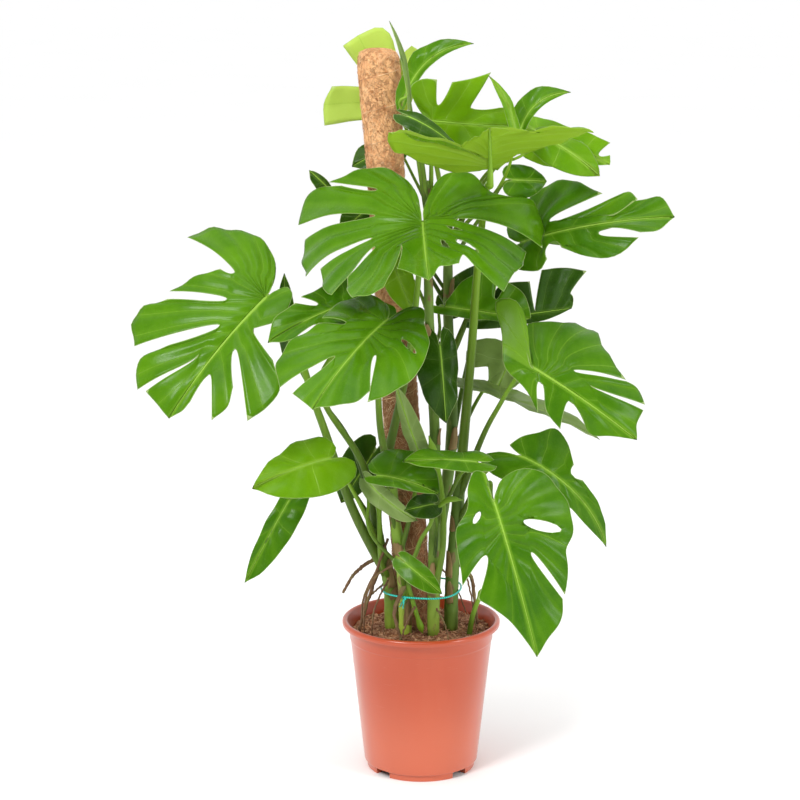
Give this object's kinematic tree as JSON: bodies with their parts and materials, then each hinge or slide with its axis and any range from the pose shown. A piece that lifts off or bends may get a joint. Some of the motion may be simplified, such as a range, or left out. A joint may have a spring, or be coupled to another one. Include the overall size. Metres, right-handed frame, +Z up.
{
  "type": "potted monstera plant",
  "caption": "Bushy split-leaf monstera climbing a leaning coir pole, its stems tied with string, in a round tapered nursery pot with a rolled rim.",
  "frame": {"origin": "centre of the pot's flat base, on the surface it stands on", "axes": "+Z up along the pot's axis; -Y is the front, where the two largest leaves face; +X is to the right seen from the front"},
  "size_m": [0.7788, 0.4588, 1.1292],
  "materials": {
    "pot_plastic": "semi-gloss moulded terracotta-coloured plastic",
    "soil_fibre": "loose brown fibrous potting mix",
    "stake_wood": "plain round wooden stake",
    "coir": "matted coconut fibre wrapped with thin string",
    "tie_string": "turquoise twisted plastic string",
    "leaf_green": "waxy mature green leaf blade",
    "leaf_bright": "young yellow-green translucent leaf blade",
    "leaf_dark": "deep green leaf blade from inside the plant",
    "leaf_pale": "matt pale green leaf underside",
    "stem_green": "smooth green stems, leaf stalks and brown aerial roots"
  },
  "bodies": {
    "root": {"pot": "pot_plastic", "soil": "soil_fibre", "pole_stake": "stake_wood", "pole_sleeve": "coir", "tie": "tie_string", "leaf_left_large": "leaf_green", "leaf_front_large": "leaf_green", "leaf_front_left": "leaf_green", "leaf_right_large": "leaf_green", "leaf_right_low": "leaf_green", "leaf_right_high": "leaf_green", "leaf_left_shaded": "leaf_green", "leaf_right_folded": "leaf_green", "leaf_heart_left": "leaf_bright", "leaf_hanging_left": "leaf_green", "leaf_behind_left": "leaf_dark", "leaf_low_front": "leaf_green", "leaf_low_cross": "leaf_green", "leaf_young_upright": "leaf_pale", "leaf_centre_hanging": "leaf_dark", "leaf_top_back": "leaf_bright", "leaf_top_curved": "leaf_green", "leaf_top_spear": "leaf_pale", "leaf_top_bright": "leaf_bright", "leaf_top_wide": "leaf_bright", "leaf_top_right_upright": "leaf_green", "leaf_top_right_curl": "leaf_bright", "leaf_top_right_far": "leaf_bright", "leaf_top_right_near": "leaf_bright", "leaf_upper_shaded": "leaf_green", "leaf_right_back": "leaf_dark", "leaf_right_under": "leaf_pale", "leaf_right_level": "leaf_pale", "leaf_bottom_small": "leaf_green", "leaf_low_pale": "leaf_pale", "leaf_low_shaded": "leaf_dark", "leaf_pole_left": "leaf_dark", "leaf_pole_right": "leaf_dark", "leaf_left_back": "leaf_dark", "leaf_behind_front": "leaf_dark", "leaf_left_curl": "leaf_dark", "leaf_inner_light": "leaf_green", "leaf_inner_young": "leaf_bright", "leaf_inner_back": "leaf_dark", "plant_left": "stem_green", "plant_front": "stem_green", "plant_centre": "stem_green", "plant_right": "stem_green", "plant_back": "stem_green"}
  },
  "joints": []
}
